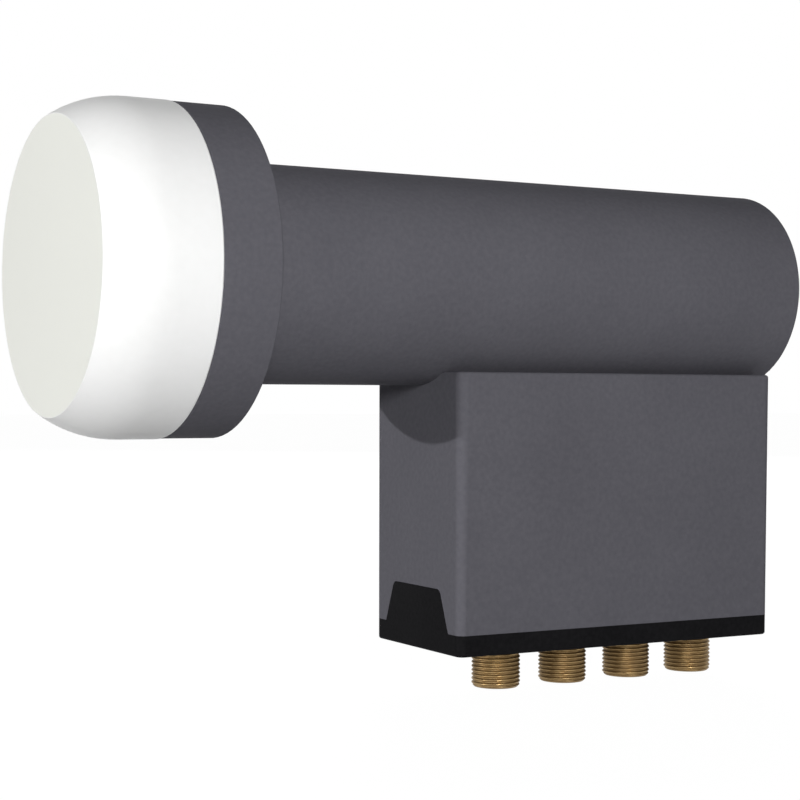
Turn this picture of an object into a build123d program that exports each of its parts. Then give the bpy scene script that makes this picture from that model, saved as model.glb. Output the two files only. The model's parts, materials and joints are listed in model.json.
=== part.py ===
from build123d import *
import math
import os

# Satellite LNB: a feed cap and a round neck over a flat case with a row of F connectors.
# All lengths are in millimetres and all angles in degrees.
# The neck's axis is X, with the cap towards -X, and the connectors point down.
# The origin is on the neck's axis, halfway along the free round length that a clamp grips.

# Neck and collar of the grey housing
neck_radius = 20.0
neck_free_length = 42.8
neck_overhang = 4.2
neck_rim_fillet = 0.8
shell_wall = 2.0
collar_radius = 29.7
collar_length = 10.7
collar_edge_fillet = 0.3

# Feed cap and its seal
cap_step = 0.1
seam_chamfer = 0.25
cap_skirt_length = 7.6
cap_shoulder_radius = 20.7
cap_shoulder_depth = 3.75
cap_wall = 1.8
cap_rim_length = 3.2
cap_spigot_length = 2.8
cap_spigot_wall = 1.8
o_ring_radius = 0.95

# Case below the neck, sized at its foot
case_length = 73.7
case_width = 31.5
case_corner_radius = 1.6
case_draft = 0.3
case_ledge_fillet = 0.6
ledge_sink = 2.6

# Black base and its end tabs
split_drop = 66.1
base_thickness = 4.0
base_edge_fillet = 0.5
tab_side_inset = 4.1
tab_slope_run = 3.1
tab_height = 7.9
tab_corner_radius = 1.5
rail_length = 50.0
rail_height = 3.0
rail_wall = 1.5

# F connectors
connector_count = 4
connector_front_inset = 18.1
connector_rear_inset = 8.35
thread_radius = 4.76
thread_reach = 8.6
thread_chamfer = 0.5
relief_depth = 0.5
relief_length = 0.6
flange_step = 0.74
flange_thickness = 2.0
seal_wall = 0.74
seal_thickness = 1.8
shank_radius = 3.6
barrel_wall = 1.36
shank_wall = 1.2
insulator_recess = 0.6
mouth_radius = 0.6
mouth_length = 1.2
contact_radius = 0.9
contact_socket_radius = 0.4
contact_socket_depth = 8.0
lead_radius = 0.4
lead_length = 5.2

# Feed horn and waveguide
guide_radius = 9.5
guide_wall = 2.0
guide_mouth_reach = 9.0
horn_flange_gap = 0.5
horn_flange_thickness = 3.0
horn_ring_count = 3
horn_ring_gap = 0.5
horn_ring_wall = 1.4
horn_ring_reach = 7.0
horn_ring_step = 2.5
pilot_length = 5.0
guide_stop_inset = 6.0
stop_thickness = 4.0
boss_length = 40.0
boss_width = 12.4
boss_rise = 1.5

# Chassis, lid and circuit board
chassis_wall = 2.0
chassis_rail = 5.0
chassis_rise_gap = 0.3
board_ledge = 2.0
board_thickness = 1.0
lid_thickness = 2.0
lid_rib_wall = 1.2
lid_rib_span = 36.0
lid_rib_drop = 4.2
lid_rib_gap = 1.6

# Probes in the waveguide
probe_spacing = 16.0
probe_radius = 0.4
probe_tail = 4.7
probe_depth = 6.5
probe_bend_radius = 2.0
bush_radius = 2.0
isolation_pin_radius = 0.75

# Parts on the board
resonator_radius = 3.0
resonator_thickness = 2.5
tuning_screw_radius = 2.0
tuning_gap = 2.5
tuning_recess = 0.3
chip_size = 7.0
chip_thickness = 1.4
regulator_length = 6.5
regulator_width = 6.0
regulator_thickness = 2.3
regulator_pitch = 12.0
chip_rise = 6.4

# Small screws
screw_radius = 1.25
screw_tap_radius = 1.1
screw_head_radius = 2.0
screw_head_height = 1.2
lid_screw_length = 7.0
lid_screw_inset = 4.6
feed_screw_inset = 3.0
feed_screw_offset = 4.0
feed_screw_grip = 5.0

# Clearances
slip_gap = 0.3
fit_gap = 0.05
hole_gap = 0.2
tab_gap = 0.1

# Places along X
collar_rear = -neck_free_length / 2
collar_front = collar_rear - collar_length
ledge_drop = neck_radius - ledge_sink
case_height = split_drop + base_thickness - ledge_drop
draft_run = case_height * math.tan(math.radians(case_draft))
case_front = neck_free_length / 2 + draft_run
case_rear = case_front + case_length
case_mid = (case_front + case_rear) / 2
neck_rear = case_rear + neck_overhang
cavity_front = case_front + shell_wall
cavity_rear = case_rear - shell_wall
chassis_front = cavity_front + slip_gap
chassis_rear = cavity_rear - slip_gap
guide_stop = case_rear - guide_stop_inset
cap_bend = collar_front - cap_skirt_length
connector_first = case_front + connector_front_inset
connector_last = case_rear - connector_rear_inset
connector_pitch = (connector_last - connector_first) / (connector_count - 1)
connector_places = [connector_first + i * connector_pitch for i in range(connector_count)]
lid_room = (lid_rib_span - 3 * lid_rib_wall) / 2
feed_screw_reach = boss_length / 2 - feed_screw_inset

# Places across Y
cavity_side = case_width / 2 - shell_wall
chassis_side = cavity_side - slip_gap
chassis_rim = -(chassis_side - lid_thickness)
board_back = -(lead_radius + fit_gap)
board_face = board_back - board_thickness

# Places along Z
roof_level = -neck_radius
split_level = -split_drop
foot_level = split_level - base_thickness
thread_end = foot_level - thread_reach
flange_foot = split_level + seal_thickness
chassis_foot = flange_foot + flange_thickness
chassis_floor = chassis_foot + chassis_rail
chassis_top = roof_level - chassis_rise_gap
chassis_ceiling = chassis_top - chassis_rail
board_top = chassis_ceiling - slip_gap
board_foot = chassis_floor + slip_gap
boss_level = -(neck_radius - shell_wall - boss_rise)
lid_rib_top = board_top - lid_rib_drop
lid_rib_foot = board_foot + chip_rise + chip_size / 2 + lid_rib_gap

# Radii about the neck's axis
neck_bore = neck_radius - shell_wall
collar_bore = collar_radius - shell_wall
cap_radius = collar_radius + cap_step
spigot_radius = collar_bore - slip_gap
spigot_bore = spigot_radius - cap_spigot_wall
guide_outer = guide_radius + guide_wall
pilot_radius = neck_bore - slip_gap
horn_ring_pitch = (spigot_bore - horn_ring_gap - guide_outer) / horn_ring_count
flange_face = collar_rear - shell_wall - horn_flange_thickness

# Radii about a connector's axis
connector_bore = thread_radius - barrel_wall
shank_bore = shank_radius - shank_wall

from_base = (Align.CENTER, Align.CENTER, Align.MIN)


def rod_x(radius, start, end):
    return Pos(start, 0, 0) * Rot(0, 90, 0) * Cylinder(radius, end - start, align=from_base)


def rod_y(radius, x, z, start, end):
    return Pos(x, start, z) * Rot(-90, 0, 0) * Cylinder(radius, end - start, align=from_base)


def rod_z(radius, x, y, start, end):
    return Pos(x, y, start) * Cylinder(radius, end - start, align=from_base)


def block(x_span, y_span, z_span):
    spans = (x_span, y_span, z_span)
    centre = [(low + high) / 2 for low, high in spans]
    size = [high - low for low, high in spans]
    return Pos(*centre) * Box(*size)


def end_face(solid, axis, end):
    return solid.faces().sort_by(axis)[end]


def case_envelope():
    foot = Pos(case_mid, 0, foot_level) * RectangleRounded(case_length, case_width, case_corner_radius)
    return extrude(foot, amount=case_height, taper=-case_draft)


def case_cavity():
    x_span = (cavity_front, cavity_rear)
    return block(x_span, (-cavity_side, cavity_side), (foot_level, roof_level))


def tab_prisms(gap):
    foot = case_width / 2 - tab_side_inset + gap
    top = foot - tab_slope_run
    height = tab_height + gap
    outline = Polygon((-foot, 0), (foot, 0), (top, height), (-top, height), align=None)
    outline = fillet(outline.vertices().group_by(Axis.Y)[-1], tab_corner_radius)
    front = Plane.YZ.offset(cavity_front) * Pos(0, split_level) * outline
    rear = Plane.YZ.offset(cavity_rear) * Pos(0, split_level) * outline
    reach = shell_wall + draft_run
    return [extrude(front, -reach), extrude(rear, reach)]


# Grey moulding: collar, neck and case walls in one piece
def make_housing():
    collar = rod_x(collar_radius, collar_front, collar_rear)
    collar = fillet(end_face(collar, Axis.X, -1).edges(), collar_edge_fillet)
    collar = chamfer(end_face(collar, Axis.X, 0).edges(), seam_chamfer)
    neck = rod_x(neck_radius, collar_rear - shell_wall, neck_rear)
    neck = fillet(end_face(neck, Axis.X, -1).edges(), neck_rim_fillet)
    walls = case_envelope()
    walls = fillet(end_face(walls, Axis.Z, -1).edges(), case_ledge_fillet)
    walls = split(walls, Plane.XY.offset(split_level), keep=Keep.TOP)
    body = collar + neck + walls
    body -= rod_x(collar_bore, collar_front, collar_rear - shell_wall)
    body -= rod_x(neck_bore, collar_rear - shell_wall, neck_rear - shell_wall)
    body -= case_cavity()
    slot_half = boss_length / 2 + slip_gap
    slot_side = boss_width / 2 + slip_gap
    body -= block((case_mid - slot_half, case_mid + slot_half), (-slot_side, slot_side), (roof_level, 0))
    for prism in tab_prisms(tab_gap):
        body -= prism
    return body


# Black base: a plate that closes the case, with a tab up each end wall and a rail inside each side
def make_base_plate():
    envelope = case_envelope()
    plate = split(envelope, Plane.XY.offset(split_level), keep=Keep.BOTTOM)
    plate = fillet(end_face(plate, Axis.Z, 0).edges(), base_edge_fillet)
    for prism in tab_prisms(0):
        plate += prism & envelope
    for side in (-1, 1):
        outer = side * chassis_side
        inner = side * (chassis_side - rail_wall)
        rail_y = (min(outer, inner), max(outer, inner))
        rail_x = (case_mid - rail_length / 2, case_mid + rail_length / 2)
        plate += block(rail_x, rail_y, (split_level, split_level + rail_height))
    for x in connector_places:
        plate -= rod_z(thread_radius + hole_gap, x, 0, foot_level, split_level)
    return plate


# White cap: a thin dome with a flat face, turned about the neck's axis
def make_feed_cap():
    bend_centre = cap_radius - cap_shoulder_radius
    face_edge = cap_radius - cap_shoulder_depth
    face_x = cap_bend - math.sqrt(cap_shoulder_radius**2 - (face_edge - bend_centre) ** 2)
    inner_bend = cap_shoulder_radius - cap_wall
    inner_x = face_x + cap_wall
    inner_edge = bend_centre + math.sqrt(inner_bend**2 - (inner_x - cap_bend) ** 2)
    inner_skirt = cap_radius - cap_wall
    spigot_end = collar_front + cap_spigot_length
    rim_front = collar_front - cap_rim_length
    outer = Polyline(
        (collar_front, spigot_radius),
        (collar_front, cap_radius - seam_chamfer),
        (collar_front - seam_chamfer, cap_radius),
        (cap_bend, cap_radius),
    )
    shoulder = TangentArc((cap_bend, cap_radius), (face_x, face_edge), tangent=(-1, 0))
    face = Polyline((face_x, face_edge), (face_x, 0), (inner_x, 0), (inner_x, inner_edge))
    inner_arc = TangentArc((cap_bend, inner_skirt), (inner_x, inner_edge), tangent=(-1, 0))
    inner = Polyline(
        (cap_bend, inner_skirt),
        (rim_front - cap_rim_length / 2, inner_skirt),
        (rim_front, spigot_bore),
        (spigot_end, spigot_bore),
        (spigot_end, spigot_radius),
        (collar_front, spigot_radius),
    )
    profile = make_face(outer + shoulder + face + inner_arc + inner)
    return revolve(profile, Axis.X)


def make_cap_o_ring():
    spigot_end = collar_front + cap_spigot_length
    middle = (spigot_radius + spigot_bore) / 2
    return Pos((spigot_end + flange_face) / 2, 0, 0) * Rot(0, 90, 0) * Torus(middle, o_ring_radius)


# Cast feed: a ringed horn on a round waveguide with a closed rear end and a flat boss below
def make_feed_horn():
    flange_rear = flange_face + horn_flange_thickness
    horn = rod_x(collar_bore - horn_flange_gap, flange_face, flange_rear)
    horn += rod_x(pilot_radius, flange_rear, flange_rear + pilot_length)
    horn += rod_x(pilot_radius, guide_stop, guide_stop + stop_thickness)
    horn += rod_x(guide_outer, flange_face - guide_mouth_reach, guide_stop)
    for i in range(horn_ring_count):
        inner = guide_outer + (i + 1) * horn_ring_pitch - horn_ring_wall
        front = flange_face - horn_ring_reach - i * horn_ring_step
        horn += rod_x(inner + horn_ring_wall, front, flange_face) - rod_x(inner, front, flange_face)
    boss_x = (case_mid - boss_length / 2, case_mid + boss_length / 2)
    horn += block(boss_x, (-boss_width / 2, boss_width / 2), (boss_level, -guide_radius))
    horn -= rod_x(guide_radius, flange_face - guide_mouth_reach, guide_stop)
    for side in (-1, 1):
        horn -= rod_z(bush_radius + fit_gap, case_mid + side * probe_spacing / 2, 0, boss_level, 0)
        screw_x = case_mid + side * feed_screw_reach
        horn -= rod_z(screw_tap_radius, screw_x, -feed_screw_offset, boss_level, boss_level + feed_screw_grip)
    horn -= rod_y(isolation_pin_radius + fit_gap, case_mid, 0, -guide_outer, guide_outer)
    return horn


# Cast chassis: a tray open to one side, with a block on top that meets the feed's boss
def make_chassis():
    tray = block((chassis_front, chassis_rear), (chassis_rim, chassis_side), (chassis_foot, chassis_top))
    block_x = (case_mid - boss_length / 2, case_mid + boss_length / 2)
    tray += block(block_x, (-boss_width / 2, boss_width / 2), (chassis_top, boss_level))
    inside_x = (chassis_front + chassis_wall, chassis_rear - chassis_wall)
    tray -= block(inside_x, (chassis_rim, board_back), (chassis_floor, chassis_ceiling))
    deep_x = (inside_x[0] + board_ledge, inside_x[1] - board_ledge)
    deep_z = (chassis_floor, chassis_ceiling - board_ledge)
    tray -= block(deep_x, (board_back, chassis_side - chassis_wall), deep_z)
    for side in (-1, 1):
        probe_x = case_mid + side * probe_spacing / 2
        tray -= rod_z(bush_radius + fit_gap, probe_x, 0, chassis_ceiling, boss_level)
        tray -= rod_z(probe_radius + slip_gap, probe_x, 0, chassis_ceiling - board_ledge, chassis_ceiling)
        screw_x = case_mid + side * feed_screw_reach
        tray -= rod_z(screw_radius + fit_gap, screw_x, -feed_screw_offset, chassis_ceiling, boss_level)
    for x in connector_places:
        tray -= rod_z(shank_radius + fit_gap, x, 0, chassis_foot, chassis_floor)
    for x, z in lid_screw_places():
        tray -= rod_y(screw_tap_radius, x, z, chassis_rim, chassis_rim + lid_screw_length)
    return tray


def lid_screw_places():
    places = []
    for x in (chassis_front + lid_screw_inset, chassis_rear - lid_screw_inset):
        for z in (chassis_foot + chassis_rail / 2, chassis_top - chassis_rail / 2):
            places.append((x, z))
    return places


def resonator_places():
    z = (lid_rib_top + lid_rib_foot) / 2
    reach = (lid_room + lid_rib_wall) / 2
    return [(case_mid - reach, z), (case_mid + reach, z)]


# Lid of the chassis, with ribs that wall off the two oscillators and hold the board on its ledge
def make_chassis_lid():
    lid = block((chassis_front, chassis_rear), (-chassis_side, chassis_rim), (chassis_foot, chassis_top))
    rib_y = (chassis_rim, board_face - fit_gap)
    half = lid_rib_span / 2
    frame = block((case_mid - half, case_mid + half), rib_y, (lid_rib_foot, lid_rib_top))
    room_z = (lid_rib_foot + lid_rib_wall, lid_rib_top - lid_rib_wall)
    for start in (case_mid - half + lid_rib_wall, case_mid + lid_rib_wall / 2):
        frame -= block((start, start + lid_room), rib_y, room_z)
    lid += frame
    for x, z in resonator_places():
        lid -= rod_y(tuning_screw_radius + fit_gap, x, z, -chassis_side, chassis_rim)
    for x, z in lid_screw_places():
        lid -= rod_y(screw_radius + fit_gap, x, z, -chassis_side, chassis_rim)
        head_floor = -chassis_side + screw_head_height
        lid -= rod_y(screw_head_radius + fit_gap, x, z, -chassis_side, head_floor)
    return lid


def make_main_board():
    edge = chassis_wall + slip_gap
    board_x = (chassis_front + edge, chassis_rear - edge)
    return block(board_x, (board_face, board_back), (board_foot, board_top))


# Straight probe, and a bent one that lies across the waveguide
def make_vertical_probe():
    x = case_mid - probe_spacing / 2
    return rod_z(probe_radius, x, 0, board_top - probe_tail, -guide_radius + probe_depth)


def make_horizontal_probe():
    x = case_mid + probe_spacing / 2
    bend_z = -guide_radius + probe_depth
    ends = [(x, 0, board_top - probe_tail), (x, 0, bend_z), (x, probe_depth, bend_z)]
    path = FilletPolyline(*ends, radius=probe_bend_radius)
    return sweep(Plane(path @ 0, z_dir=path % 0) * Circle(probe_radius), path=path)


def make_probe_bush(side):
    x = case_mid + side * probe_spacing / 2
    top = -guide_radius - fit_gap
    bush = rod_z(bush_radius, x, 0, chassis_ceiling, top)
    return bush - rod_z(probe_radius + fit_gap, x, 0, chassis_ceiling, top)


def make_isolation_pin():
    return rod_y(isolation_pin_radius, case_mid, 0, -guide_outer, guide_outer)


def make_resonator(x, z):
    return rod_y(resonator_radius, x, z, board_face - resonator_thickness, board_face)


def make_tuning_screws():
    tip = board_face - resonator_thickness - tuning_gap
    head = -chassis_side + tuning_recess
    return Compound([rod_y(tuning_screw_radius, x, z, head, tip) for x, z in resonator_places()])


def make_board_chip(x, length, width, thickness):
    z = board_foot + chip_rise
    x_span = (x - length / 2, x + length / 2)
    return block(x_span, (board_face - thickness, board_face), (z - width / 2, z + width / 2))


# Turned connector body: a hexagon flange against the chassis, a shank above and a thread barrel below
def make_connector(x):
    barrel = rod_z(thread_radius, x, 0, thread_end, flange_foot)
    barrel = chamfer(end_face(barrel, Axis.Z, 0).edges(), thread_chamfer)
    relief = rod_z(thread_radius, x, 0, foot_level - relief_length, foot_level)
    relief -= rod_z(thread_radius - relief_depth, x, 0, foot_level - relief_length, foot_level)
    hexagon = RegularPolygon(thread_radius + flange_step, 6, major_radius=False, rotation=30)
    flange = extrude(Pos(x, 0, flange_foot) * hexagon, flange_thickness)
    body = barrel - relief + flange + rod_z(shank_radius, x, 0, chassis_foot, chassis_floor)
    body -= rod_z(connector_bore, x, 0, thread_end, flange_foot)
    body -= rod_z(shank_bore, x, 0, flange_foot, chassis_floor)
    return body


def make_insulator(x):
    foot = thread_end + insulator_recess
    body = rod_z(connector_bore - fit_gap, x, 0, foot, flange_foot)
    body += rod_z(shank_bore - fit_gap, x, 0, flange_foot, chassis_floor)
    body -= rod_z(mouth_radius, x, 0, foot, foot + mouth_length)
    return body - rod_z(contact_radius + fit_gap, x, 0, foot + mouth_length, chassis_floor)


def make_contact(x):
    foot = thread_end + insulator_recess + mouth_length
    body = rod_z(contact_radius, x, 0, foot, chassis_floor)
    body += rod_z(lead_radius, x, 0, chassis_floor, chassis_floor + lead_length)
    return body - rod_z(contact_socket_radius, x, 0, foot, foot + contact_socket_depth)


def make_seal(x):
    ring = rod_z(thread_radius + seal_wall, x, 0, split_level, flange_foot)
    return ring - rod_z(thread_radius + fit_gap, x, 0, split_level, flange_foot)


def make_lid_screws():
    screws = []
    for x, z in lid_screw_places():
        head_floor = -chassis_side + screw_head_height
        head = rod_y(screw_head_radius, x, z, -chassis_side, head_floor)
        neck = rod_y(screw_radius, x, z, head_floor, chassis_rim)
        shank = rod_y(screw_tap_radius, x, z, chassis_rim, chassis_rim + lid_screw_length)
        screws.append(head + neck + shank)
    return Compound(screws)


def make_feed_screws():
    screws = []
    for side in (-1, 1):
        x = case_mid + side * feed_screw_reach
        y = -feed_screw_offset
        head = rod_z(screw_head_radius, x, y, chassis_ceiling - screw_head_height, chassis_ceiling)
        neck = rod_z(screw_radius, x, y, chassis_ceiling, boss_level)
        shank = rod_z(screw_tap_radius, x, y, boss_level, boss_level + feed_screw_grip)
        screws.append(head + neck + shank)
    return Compound(screws)


def make_parts():
    low_place, high_place = resonator_places()
    parts = {
        "feed_cap": make_feed_cap(),
        "cap_o_ring": make_cap_o_ring(),
        "housing": make_housing(),
        "base_plate": make_base_plate(),
        "feed_horn": make_feed_horn(),
        "chassis": make_chassis(),
        "chassis_lid": make_chassis_lid(),
        "main_board": make_main_board(),
        "vertical_probe": make_vertical_probe(),
        "horizontal_probe": make_horizontal_probe(),
        "vertical_probe_bush": make_probe_bush(-1),
        "horizontal_probe_bush": make_probe_bush(1),
        "isolation_pin": make_isolation_pin(),
        "low_band_resonator": make_resonator(*low_place),
        "high_band_resonator": make_resonator(*high_place),
        "tuning_screws": make_tuning_screws(),
        "switch_chip": make_board_chip(case_mid, chip_size, chip_size, chip_thickness),
        "lid_screws": make_lid_screws(),
        "feed_screws": make_feed_screws(),
    }
    for i, step in enumerate((-2, -1, 1, 2), start=1):
        x = case_mid + step * regulator_pitch
        parts[f"regulator_{i}"] = make_board_chip(x, regulator_length, regulator_width, regulator_thickness)
    for i, x in enumerate(connector_places, start=1):
        parts[f"f_connector_{i}"] = make_connector(x)
        parts[f"connector_insulator_{i}"] = make_insulator(x)
        parts[f"connector_contact_{i}"] = make_contact(x)
        parts[f"connector_seal_{i}"] = make_seal(x)
    return parts


def main():
    os.makedirs("parts", exist_ok=True)
    for name, shape in make_parts().items():
        export_step(shape, f"parts/{name}.step")


main()
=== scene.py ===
import json
import math

import bmesh
import bpy
from mathutils import Euler, Matrix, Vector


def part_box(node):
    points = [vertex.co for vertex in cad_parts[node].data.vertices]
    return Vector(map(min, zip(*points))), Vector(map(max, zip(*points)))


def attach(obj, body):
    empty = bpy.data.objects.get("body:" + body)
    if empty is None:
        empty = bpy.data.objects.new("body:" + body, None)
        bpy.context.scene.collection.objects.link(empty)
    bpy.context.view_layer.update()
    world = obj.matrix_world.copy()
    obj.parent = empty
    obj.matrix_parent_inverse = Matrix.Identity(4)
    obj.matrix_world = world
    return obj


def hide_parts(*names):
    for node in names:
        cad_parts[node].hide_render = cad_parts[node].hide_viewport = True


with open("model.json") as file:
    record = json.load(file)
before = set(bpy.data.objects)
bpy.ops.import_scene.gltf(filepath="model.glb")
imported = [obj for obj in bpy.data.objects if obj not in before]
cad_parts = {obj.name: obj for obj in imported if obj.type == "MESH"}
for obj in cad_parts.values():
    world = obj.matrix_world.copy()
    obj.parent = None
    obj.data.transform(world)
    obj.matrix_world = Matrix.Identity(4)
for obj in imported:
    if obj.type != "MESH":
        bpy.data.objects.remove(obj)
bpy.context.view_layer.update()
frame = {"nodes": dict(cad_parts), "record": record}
nodes = frame["nodes"]
scene = bpy.context.scene
scene.view_settings.view_transform = "Standard"
mm = 0.001
print("frame loaded:", len(nodes), "nodes")


class Wire:  # one output socket, so that node maths reads as plain sums
    def __init__(self, graph, socket):
        self.graph = graph
        self.socket = socket

    def math(self, operation, first, second=0.0):
        return self.graph.add("ShaderNodeMath", {"operation": operation}, {0: first, 1: second})

    def __add__(self, other):
        return self.math("ADD", self, other)

    def __radd__(self, other):
        return self.math("ADD", other, self)

    def __sub__(self, other):
        return self.math("SUBTRACT", self, other)

    def __rsub__(self, other):
        return self.math("SUBTRACT", other, self)

    def __mul__(self, other):
        return self.math("MULTIPLY", self, other)

    def __rmul__(self, other):
        return self.math("MULTIPLY", other, self)

    def __truediv__(self, other):
        return self.math("DIVIDE", self, other)

    def __rtruediv__(self, other):
        return self.math("DIVIDE", other, self)

    def __abs__(self):
        return self.math("ABSOLUTE", self)

    def least(self, other):
        return self.math("MINIMUM", self, other)

    def most(self, other):
        return self.math("MAXIMUM", self, other)

    def fract(self):
        return self.math("FRACT", self)

    def nearest(self):
        return self.math("ROUND", self)

    def root(self):
        return self.math("SQRT", self)

    def sine(self):
        return self.math("SINE", self)

    def cosine(self):
        return self.math("COSINE", self)

    def ramp(self, low, high):  # 0 at low, 1 at high, smooth between
        settings = {"interpolation_type": "SMOOTHSTEP"}
        sockets = {"Value": self, "From Min": low, "From Max": high}
        return self.graph.add("ShaderNodeMapRange", settings, sockets)


class Graph:  # a node tree, and the one way that nodes get into it
    def __init__(self, tree):
        self.tree = tree

    def add(self, kind, settings=None, sockets=None, out=0):
        node = self.tree.nodes.new(kind)
        for name, value in (settings or {}).items():
            setattr(node, name, value)
        for key, value in (sockets or {}).items():
            if isinstance(value, Wire):
                self.tree.links.new(value.socket, node.inputs[key])
            else:
                node.inputs[key].default_value = value
        return Wire(self, node.outputs[out]) if out is not None else node

    def spot(self):  # object coordinates, in metres
        return self.add("ShaderNodeTexCoord", out="Object")

    def axes(self, vector):
        split = self.add("ShaderNodeSeparateXYZ", None, {"Vector": vector}, out=None)
        return [Wire(self, socket) for socket in split.outputs]

    def noise(self, where, size, detail=2.0, rough=0.5):  # size of one blotch, in mm
        sockets = {"Vector": where, "Scale": 1 / (size * mm), "Detail": detail, "Roughness": rough}
        return self.add("ShaderNodeTexNoise", None, sockets, out="Fac")

    def blend(self, amount, first, second):
        sockets = {0: amount, 6: first, 7: second}  # 6 and 7 are Mix's colour sockets, 2 its colour result
        return self.add("ShaderNodeMix", {"data_type": "RGBA"}, sockets, out=2)

    def bump(self, height, depth, strength):  # depth in mm
        sockets = {"Height": height, "Distance": depth * mm, "Strength": strength}
        return self.add("ShaderNodeBump", None, sockets)


def paint(red, green, blue):
    return (red, green, blue, 1.0)


def startFinish(name):
    material = bpy.data.materials.new(name)
    material.use_nodes = True
    material.node_tree.nodes.clear()
    return material, Graph(material.node_tree)


def endFinish(graph, sockets):
    shader = graph.add("ShaderNodeBsdfPrincipled", None, sockets)
    graph.add("ShaderNodeOutputMaterial", None, {"Surface": shader}, out=None)


# plastics share one build: broad shade drift, fine speckle, spark-eroded grain
def makePlastic(name, look):
    material, graph = startFinish(name)
    where = graph.spot()
    drift = graph.noise(where, look["driftSize"])
    speckle = graph.noise(where, look["speckleSize"], detail=1.0)
    grain = graph.noise(where, look["grainSize"], detail=3.0, rough=0.6)
    amount = 0.5 + (drift - 0.5) * look["drift"] + (speckle - 0.5) * look["speckle"]
    colour = graph.blend(amount, paint(*look["dark"]), paint(*look["light"]))
    rough = look["rough"] + (drift - 0.5) * look["roughDrift"] + (grain - 0.5) * look["roughGrain"]
    if "face" in look:  # the cap's flat front is a shade creamier than its side
        x, y, z = graph.axes(where)
        edge, front = look["faceEdge"], look["faceFront"]
        within = 1 - (y * y + z * z).root().ramp((edge - look["faceBlend"]) * mm, edge * mm)
        ahead = 1 - x.ramp(front * mm, (front + look["faceDepth"]) * mm)
        colour = graph.blend(within * ahead, colour, paint(*look["face"]))
    endFinish(graph, {
        "Base Color": colour,
        "Roughness": rough,
        "Normal": graph.bump(grain, look["grainDepth"], look["grainStrength"]),
        "Specular IOR Level": look["specular"],
    })
    return material


# sizes and depths in mm
greyLook = {
    "dark": (0.094, 0.092, 0.106), "light": (0.115, 0.113, 0.129),
    "driftSize": 24.0, "speckleSize": 0.9, "grainSize": 0.32,
    "drift": 1.1, "speckle": 1.2,
    "rough": 0.62, "roughDrift": 0.10, "roughGrain": 0.12,
    "grainDepth": 0.025, "grainStrength": 0.5, "specular": 0.016,
}
capLook = {
    "dark": (0.83, 0.832, 0.825), "light": (0.88, 0.882, 0.878), "face": (0.865, 0.873, 0.817),
    "faceEdge": 26.05, "faceBlend": 0.25, "faceFront": -51.4, "faceDepth": 1.0,
    "driftSize": 30.0, "speckleSize": 1.6, "grainSize": 0.6,
    "drift": 1.0, "speckle": 0.5,
    "rough": 0.40, "roughDrift": 0.10, "roughGrain": 0.06,
    "grainDepth": 0.012, "grainStrength": 0.25, "specular": 0.1,
}
blackLook = {
    "dark": (0.0070, 0.0069, 0.0076), "light": (0.0122, 0.0120, 0.0130),
    "driftSize": 16.0, "speckleSize": 0.7, "grainSize": 0.28,
    "drift": 1.1, "speckle": 1.2,
    "rough": 0.42, "roughDrift": 0.10, "roughGrain": 0.12,
    "grainDepth": 0.025, "grainStrength": 0.5, "specular": 0.006,
}
insulatorLook = {
    "dark": (0.70, 0.69, 0.65), "light": (0.80, 0.79, 0.75),
    "driftSize": 4.0, "speckleSize": 0.5, "grainSize": 0.2,
    "drift": 1.0, "speckle": 0.6,
    "rough": 0.45, "roughDrift": 0.10, "roughGrain": 0.08,
    "grainDepth": 0.01, "grainStrength": 0.3, "specular": 0.35,
}
rubberLook = {
    "dark": (0.010, 0.010, 0.010), "light": (0.020, 0.020, 0.020),
    "driftSize": 5.0, "speckleSize": 0.5, "grainSize": 0.2,
    "drift": 1.0, "speckle": 1.0,
    "rough": 0.62, "roughDrift": 0.10, "roughGrain": 0.10,
    "grainDepth": 0.02, "grainStrength": 0.4, "specular": 0.3,
}
laminateLook = {
    "dark": (0.030, 0.120, 0.045), "light": (0.070, 0.200, 0.095),
    "driftSize": 9.0, "speckleSize": 0.8, "grainSize": 0.5,
    "drift": 1.0, "speckle": 1.2,
    "rough": 0.38, "roughDrift": 0.08, "roughGrain": 0.08,
    "grainDepth": 0.02, "grainStrength": 0.3, "specular": 0.5,
}
chipLook = {
    "dark": (0.014, 0.014, 0.014), "light": (0.026, 0.026, 0.026),
    "driftSize": 4.0, "speckleSize": 0.4, "grainSize": 0.15,
    "drift": 1.0, "speckle": 1.0,
    "rough": 0.50, "roughDrift": 0.08, "roughGrain": 0.10,
    "grainDepth": 0.02, "grainStrength": 0.4, "specular": 0.4,
}
ceramicLook = {
    "dark": (0.46, 0.34, 0.21), "light": (0.62, 0.49, 0.34),
    "driftSize": 3.0, "speckleSize": 0.4, "grainSize": 0.2,
    "drift": 1.0, "speckle": 1.0,
    "rough": 0.60, "roughDrift": 0.10, "roughGrain": 0.10,
    "grainDepth": 0.02, "grainStrength": 0.4, "specular": 0.4,
}


# metals: tarnish drift over a cast, drawn or plated grain
def makeMetal(name, look):
    material, graph = startFinish(name)
    where = graph.spot()
    tarnish = graph.noise(where, look["tarnishSize"], detail=4.0, rough=0.6)
    grain = graph.noise(where, look["grainSize"], detail=3.0, rough=0.6)
    colour = graph.blend(tarnish.ramp(*look["tarnishSpan"]), paint(*look["clean"]), paint(*look["dull"]))
    rough = look["rough"] + tarnish * look["roughTarnish"] + (grain - 0.5) * look["roughGrain"]
    endFinish(graph, {
        "Base Color": colour,
        "Roughness": rough,
        "Metallic": 1.0,
        "Normal": graph.bump(grain, look["grainDepth"], look["grainStrength"]),
    })
    return material


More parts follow.
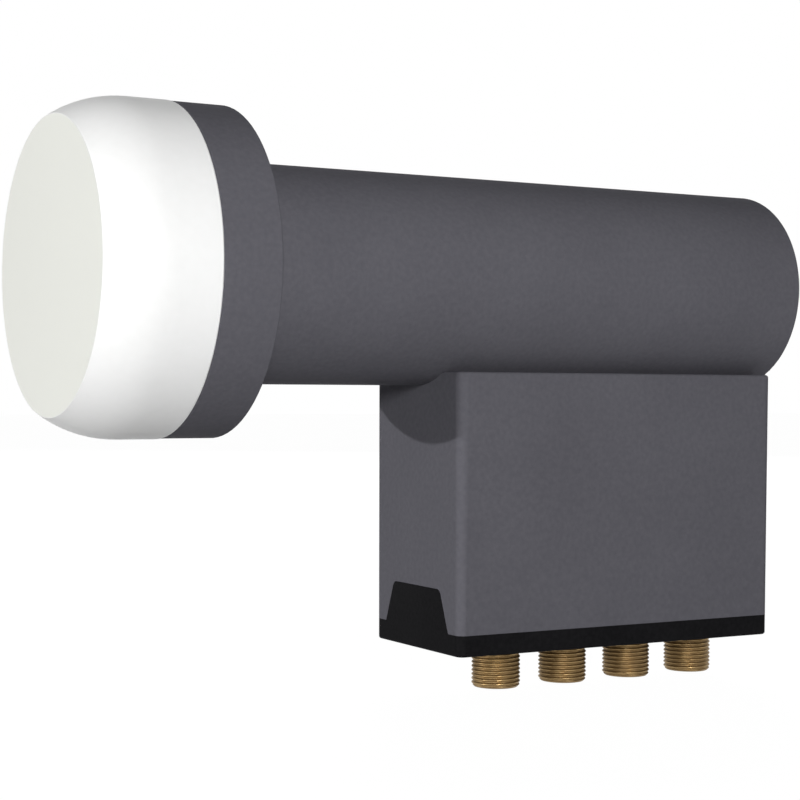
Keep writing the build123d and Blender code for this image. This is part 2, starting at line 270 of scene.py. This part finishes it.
castLook = {
    "clean": (0.66, 0.66, 0.67), "dull": (0.54, 0.54, 0.55),
    "tarnishSize": 7.0, "tarnishSpan": (0.30, 0.70), "grainSize": 0.4,
    "rough": 0.38, "roughTarnish": 0.16, "roughGrain": 0.12,
    "grainDepth": 0.03, "grainStrength": 0.5,
}
wireLook = {
    "clean": (0.56, 0.41, 0.18), "dull": (0.40, 0.28, 0.12),
    "tarnishSize": 2.0, "tarnishSpan": (0.30, 0.70), "grainSize": 0.2,
    "rough": 0.22, "roughTarnish": 0.16, "roughGrain": 0.08,
    "grainDepth": 0.01, "grainStrength": 0.4,
}
screwLook = {
    "clean": (0.60, 0.60, 0.61), "dull": (0.47, 0.47, 0.48),
    "tarnishSize": 2.0, "tarnishSpan": (0.30, 0.70), "grainSize": 0.2,
    "rough": 0.26, "roughTarnish": 0.14, "roughGrain": 0.08,
    "grainDepth": 0.01, "grainStrength": 0.4,
}

# F connectors, all alike: radii and heights in mm
connector = {
    "count": 4, "around": 72, "rowsPerTurn": 10, "sharpAngle": 32.0, "weld": 0.001,
    "crest": 4.76, "depth": 0.30, "lead": 0.794, "steepness": 1.5,  # 32 turns to the inch
    "foot": -78.7, "runOut": -70.7, "collar": -70.1, "seat": -64.3, "head": -62.3, "tip": -57.3,
    "relief": 4.26, "bore": 3.4, "boreChamfer": 0.15, "flats": 5.5, "shank": 3.6, "throat": 2.4,
}
# the root shade colour is painted shade, laid into the thread roots and relief groove
brassLook = {
    "clean": (0.36, 0.25, 0.115), "dull": (0.26, 0.175, 0.082), "rootShade": (0.15, 0.10, 0.05),
    "tarnishSize": 2.6, "tarnishSpan": (0.28, 0.72), "fineSize": 0.25,
    "rootShadeShare": 0.45, "rootShadeFrom": 0.05, "rootShadeFull": 0.15,  # none in the bore, full this far outside it
    "rough": 0.38, "roughTarnish": 0.14, "roughRoot": 0.10, "roughFine": 0.10,
    "ringPitch": 0.11, "ringShare": 0.6, "ringDepth": 0.006, "ringStrength": 0.35,
}
rowPlaces = []  # metres along X, where the frame has the connectors
for index in range(connector["count"]):
    low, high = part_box(f"f_connector_{index + 1}")
    rowPlaces.append((low.x + high.x) / 2)


def makeBrass(look):  # turned brass: bright crests, darker roots, fine tool rings
    material, graph = startFinish("turnedBrass")
    where = graph.spot()
    x, y, z = graph.axes(where)
    first = rowPlaces[0]
    pitch = (rowPlaces[-1] - first) / (len(rowPlaces) - 1)
    along = x - first - pitch * ((x - first) / pitch).nearest()  # from the nearest connector's axis
    radius = (along * along + y * y).root()
    crest, bore = connector["crest"], connector["bore"]
    raised = radius.ramp((crest - connector["depth"]) * mm, crest * mm)
    outer = radius.ramp((bore + look["rootShadeFrom"]) * mm, (bore + look["rootShadeFull"]) * mm)
    tarnish = graph.noise(where, look["tarnishSize"], detail=4.0, rough=0.6).ramp(*look["tarnishSpan"])
    fine = graph.noise(where, look["fineSize"])
    rings = ((z + radius) * (2 * math.pi / (look["ringPitch"] * mm))).sine() * 0.5 + 0.5
    metal = graph.blend(tarnish, paint(*look["clean"]), paint(*look["dull"]))
    # painted shade: metal below the thread crests darkens, outside the bore only
    shaded = graph.blend((1 - raised) * outer * look["rootShadeShare"], metal, paint(*look["rootShade"]))
    rough = look["rough"] + tarnish * look["roughTarnish"]
    rough = rough + (1 - raised) * look["roughRoot"] + (fine - 0.5) * look["roughFine"]
    height = rings * look["ringShare"] + fine * (1 - look["ringShare"])
    endFinish(graph, {
        "Base Color": shaded,
        "Roughness": rough,
        "Metallic": 1.0,
        "Normal": graph.bump(height, look["ringDepth"], look["ringStrength"]),
    })
    return material


finishes = {
    "cap_white": makePlastic("capPlastic", capLook),
    "housing_grey": makePlastic("greyMoulding", greyLook),
    "base_black": makePlastic("blackMoulding", blackLook),
    "connector_brass": makeBrass(brassLook),
    "insulator_white": makePlastic("insulatorPlastic", insulatorLook),
    "probe_brass": makeMetal("drawnBrass", wireLook),
    "bush_white": makePlastic("bushPlastic", insulatorLook),
    "seal_rubber": makePlastic("sealRubber", rubberLook),
    "cast_metal": makeMetal("diecastMetal", castLook),
    "board_laminate": makePlastic("boardLaminate", laminateLook),
    "chip_black": makePlastic("chipPackage", chipLook),
    "resonator_ceramic": makePlastic("firedCeramic", ceramicLook),
    "screw_steel": makeMetal("platedSteel", screwLook),
}
print("finishes made:", len(finishes))

# each node keeps its solid and takes the finish of its record slot
slotOf = {part["node"]: part["material_slot"] for part in frame["record"]["subparts"]}
for nodeName, node in nodes.items():
    for holder in node.material_slots:
        holder.material = finishes[slotOf[nodeName]]
print("nodes finished:", len(slotOf))


def addInput(tree, name, kind):
    return tree.interface.new_socket(name=name, in_out="INPUT", socket_type=kind)


def threadTree():  # a sheet wrapped round Z, its radius swinging once per turn
    tree = bpy.data.node_groups.new("threadBarrel", "GeometryNodeTree")
    for name in ("Crest", "Depth", "Lead", "Steepness", "Foot", "Top", "Relief", "Weld"):
        addInput(tree, name, "NodeSocketFloat")
    for name in ("Around", "Rows"):
        addInput(tree, name, "NodeSocketInt")
    addInput(tree, "Finish", "NodeSocketMaterial")
    tree.interface.new_socket(name="Geometry", in_out="OUTPUT", socket_type="NodeSocketGeometry")
    graph = Graph(tree)
    given = graph.add("NodeGroupInput", out=None)
    size = {socket.name: Wire(graph, socket) for socket in given.outputs if socket.name}
    sheet = graph.add("GeometryNodeMeshGrid", None, {
        "Size X": 1.0, "Size Y": 1.0,
        "Vertices X": size["Around"] + 1, "Vertices Y": size["Rows"],
    })
    u, v, _ = graph.axes(graph.add("GeometryNodeInputPosition"))
    turn = u + 0.5
    height = size["Foot"] + (v + 0.5) * (size["Top"] - size["Foot"])
    swing = abs(2 * ((height - size["Foot"]) / size["Lead"] - turn).fract() - 1)
    flank = ((swing - 0.5) * size["Steepness"] + 0.5).most(0.0).least(1.0)  # flat crests and roots
    wave = size["Crest"] - size["Depth"] * flank
    lowCone = size["Relief"] + (height - size["Foot"])  # chamfer at either end of the thread
    highCone = size["Relief"] + (size["Top"] - height)
    radius = wave.least(lowCone).least(highCone)
    angle = turn * (2 * math.pi)
    place = graph.add("ShaderNodeCombineXYZ", None, {
        "X": radius * angle.cosine(), "Y": radius * angle.sine(), "Z": height,
    })
    wrapped = graph.add("GeometryNodeSetPosition", None, {"Geometry": sheet, "Position": place})
    closed = graph.add("GeometryNodeMergeByDistance", None, {"Geometry": wrapped, "Distance": size["Weld"]})
    solid = graph.add("GeometryNodeRealizeInstances", None, {"Geometry": closed})
    dressed = graph.add("GeometryNodeSetMaterial", None, {"Geometry": solid, "Material": size["Finish"]})
    graph.add("NodeGroupOutput", None, {"Geometry": dressed}, out=None)
    return tree


def runTree(name, tree, values):  # evaluates the tree once and returns a plain mesh
    holder = bpy.data.objects.new(name, bpy.data.meshes.new(name))
    scene.collection.objects.link(holder)
    modifier = holder.modifiers.new(name, "NODES")
    modifier.node_group = tree
    for item in tree.interface.items_tree:
        if item.in_out == "INPUT":
            modifier[item.identifier] = values[item.name]
    evaluated = holder.evaluated_get(bpy.context.evaluated_depsgraph_get())
    mesh = bpy.data.meshes.new_from_object(evaluated)
    holder.modifiers.remove(modifier)
    bpy.data.objects.remove(holder)
    return mesh


def hexagonAt(angle):  # radius of the flange at an angle, flats square to X
    step = math.pi / 3
    return connector["flats"] / math.cos((angle + step / 2) % step - step / 2)


def addTurning(shape, rings, around):  # rings of (radius or rule, height), in mm, joined in order
    loops = []
    for radius, height in rings:
        loop = []
        for i in range(around):
            angle = 2 * math.pi * i / around
            reach = (radius(angle) if callable(radius) else radius) * mm
            loop.append(shape.verts.new((reach * math.cos(angle), reach * math.sin(angle), height * mm)))
        loops.append(loop)
    for lower, upper in zip(loops, loops[1:]):
        for i in range(around):
            j = (i + 1) % around
            shape.faces.new((lower[i], lower[j], upper[j], upper[i]))


def makeConnectors(size):
    threadLength = size["runOut"] - size["foot"]
    rows = round(threadLength / size["lead"] * size["rowsPerTurn"])
    thread = runTree("threadBarrel", threadTree(), {
        "Crest": size["crest"] * mm, "Depth": size["depth"] * mm, "Lead": size["lead"] * mm,
        "Steepness": size["steepness"], "Foot": size["foot"] * mm, "Top": size["runOut"] * mm,
        "Relief": size["relief"] * mm, "Weld": size["weld"] * mm,
        "Around": size["around"], "Rows": rows, "Finish": finishes["connector_brass"],
    })
    shape = bmesh.new()
    shape.from_mesh(thread)
    outside = [
        (size["relief"], size["runOut"]), (size["relief"], size["collar"]),
        (size["crest"], size["collar"]), (size["crest"], size["seat"]),
        (hexagonAt, size["seat"]), (hexagonAt, size["head"]),
        (size["shank"], size["head"]), (size["shank"], size["tip"]),
    ]
    inside = [
        (size["throat"], size["tip"]), (size["throat"], size["seat"]), (size["bore"], size["seat"]),
        (size["bore"], size["foot"] + size["boreChamfer"]),
        (size["bore"] + size["boreChamfer"], size["foot"]), (size["relief"], size["foot"]),
    ]
    addTurning(shape, outside + inside, size["around"])
    bmesh.ops.remove_doubles(shape, verts=shape.verts, dist=size["weld"] * mm)
    bmesh.ops.recalc_face_normals(shape, faces=shape.faces)
    openEdges = sum(len(edge.link_faces) != 2 for edge in shape.edges)
    print("connector mesh:", len(shape.faces), "faces,", openEdges, "open edges")
    for index, place in enumerate(rowPlaces):
        mesh = bpy.data.meshes.new(f"turnedConnector{index + 1}")
        shape.to_mesh(mesh)
        for vertex in mesh.vertices:
            vertex.co.x += place
        mesh.materials.clear()
        mesh.materials.append(finishes["connector_brass"])
        mesh.shade_smooth()
        mesh.set_sharp_from_angle(angle=math.radians(size["sharpAngle"]))
        piece = bpy.data.objects.new(mesh.name, mesh)
        scene.collection.objects.link(piece)
        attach(piece, "root")
        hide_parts(f"f_connector_{index + 1}")
    shape.free()


makeConnectors(connector)
print("connectors made:", connector["count"])

# studio: pale floor under the connectors and a white surround
studio = {
    "floorLevel": -78.9, "floorSpan": 6.0,  # level in mm, span in metres
    "floorWhite": 0.45, "mottle": 0.02, "mottleSize": 180.0, "floorGlow": 0.92, "glowStrength": 1.07,
    "ambient": 0.08, "ceilingFrom": 0.30, "ceilingFull": 0.75,
}


def lightKinds(graph):
    path = graph.add("ShaderNodeLightPath", out=None)
    return [
        Wire(graph, path.outputs[name])
        for name in ("Is Camera Ray", "Is Glossy Ray", "Is Transmission Ray")
    ]


def makeFloor():
    half = studio["floorSpan"] / 2
    level = studio["floorLevel"] * mm
    mesh = bpy.data.meshes.new("studioFloor")
    corners = [(-half, -half, level), (half, -half, level), (half, half, level), (-half, half, level)]
    mesh.from_pydata(corners, [], [(0, 1, 2, 3)])
    material, graph = startFinish("paleFloor")
    shade = studio["floorWhite"] + (graph.noise(graph.spot(), studio["mottleSize"]) - 0.5) * studio["mottle"]
    colour = graph.add("ShaderNodeCombineColor", None, {"Red": shade, "Green": shade, "Blue": shade})
    matt = graph.add("ShaderNodeBsdfDiffuse", None, {"Color": colour})
    glow = graph.add("ShaderNodeEmission", None, {"Strength": studio["glowStrength"]})
    eye, gloss, through = lightKinds(graph)
    amount = eye.most(gloss).most(through) * studio["floorGlow"]  # the rest keeps the object's shadow
    mixed = graph.add("ShaderNodeMixShader", None, {0: amount, 1: matt, 2: glow})
    graph.add("ShaderNodeOutputMaterial", None, {"Surface": mixed}, out=None)
    mesh.materials.append(material)
    floor = bpy.data.objects.new("studioFloor", mesh)
    scene.collection.objects.link(floor)


def makeSurround():
    world = bpy.data.worlds.new("whiteSurround")
    world.use_nodes = True
    world.node_tree.nodes.clear()
    scene.world = world
    graph = Graph(world.node_tree)
    _, _, upward = graph.axes(graph.add("ShaderNodeTexCoord", out="Generated"))
    fill = graph.add("ShaderNodeBackground", None, {"Color": paint(1, 1, 1), "Strength": studio["ambient"]})
    white = graph.add("ShaderNodeBackground", None, {"Color": paint(1, 1, 1), "Strength": 1.0})
    eye, gloss, through = lightKinds(graph)
    walls = 1 - upward.ramp(studio["ceilingFrom"], studio["ceilingFull"])  # gloss shows a dim ceiling
    seen = eye.most(through).most(gloss * walls)
    mixed = graph.add("ShaderNodeMixShader", None, {0: seen, 1: fill, 2: white})
    graph.add("ShaderNodeOutputWorld", None, {"Surface": mixed}, out=None)


# lamps: direction from the origin, distance and width in metres, power in watts
lamps = {
    "front": {"from": (-0.996, 0.087, 0.0093), "reach": 3.0, "span": 0.04, "power": 41.0, "inGloss": True},
    "side": {"from": (-0.34, -0.935, 0.15), "reach": 0.65, "span": 0.13, "power": 3.7, "inGloss": True},
    "rear": {"from": (0.55, 0.78, 0.30), "reach": 1.2, "span": 0.5, "power": 14.0, "inGloss": False},
}


def addLamp(name, size):  # a round soft lamp that faces the origin
    lamp = bpy.data.lights.new(name, "AREA")
    lamp.shape = "DISK"
    lamp.size = size["span"]
    lamp.energy = size["power"]
    holder = bpy.data.objects.new(name, lamp)
    holder.location = [size["reach"] * part for part in size["from"]]
    holder.rotation_mode = "QUATERNION"
    holder.rotation_quaternion = holder.location.to_track_quat("Z", "Y")
    holder.visible_glossy = size["inGloss"]  # the rear lamp makes no rim glint
    scene.collection.objects.link(holder)


makeFloor()
makeSurround()
for lampName, lampSize in lamps.items():
    addLamp(lampName + "Lamp", lampSize)
print("studio lit:", len(lamps), "lamps")

# camera: found from the round edges and straight edges of the photograph
view = {
    "place": (-155.439, -303.45, -19.991), "azimuth": 29.718, "pitch": -0.458, "roll": 0.392,
    "lens": 82.828, "sensor": 36.0, "near": 10.0,
}
camera = bpy.data.cameras.new("photoCamera")
camera.lens = view["lens"]
camera.sensor_width = view["sensor"]
camera.clip_start = view["near"] * mm
cameraHolder = bpy.data.objects.new("photoCamera", camera)
cameraHolder.location = [part * mm for part in view["place"]]
aim = Euler((math.radians(90 + view["pitch"]), 0, -math.radians(view["azimuth"]))).to_matrix()
cameraHolder.rotation_euler = (aim @ Matrix.Rotation(math.radians(view["roll"]), 3, "Z")).to_euler()
scene.collection.objects.link(cameraHolder)
scene.camera = cameraHolder
print("camera set")
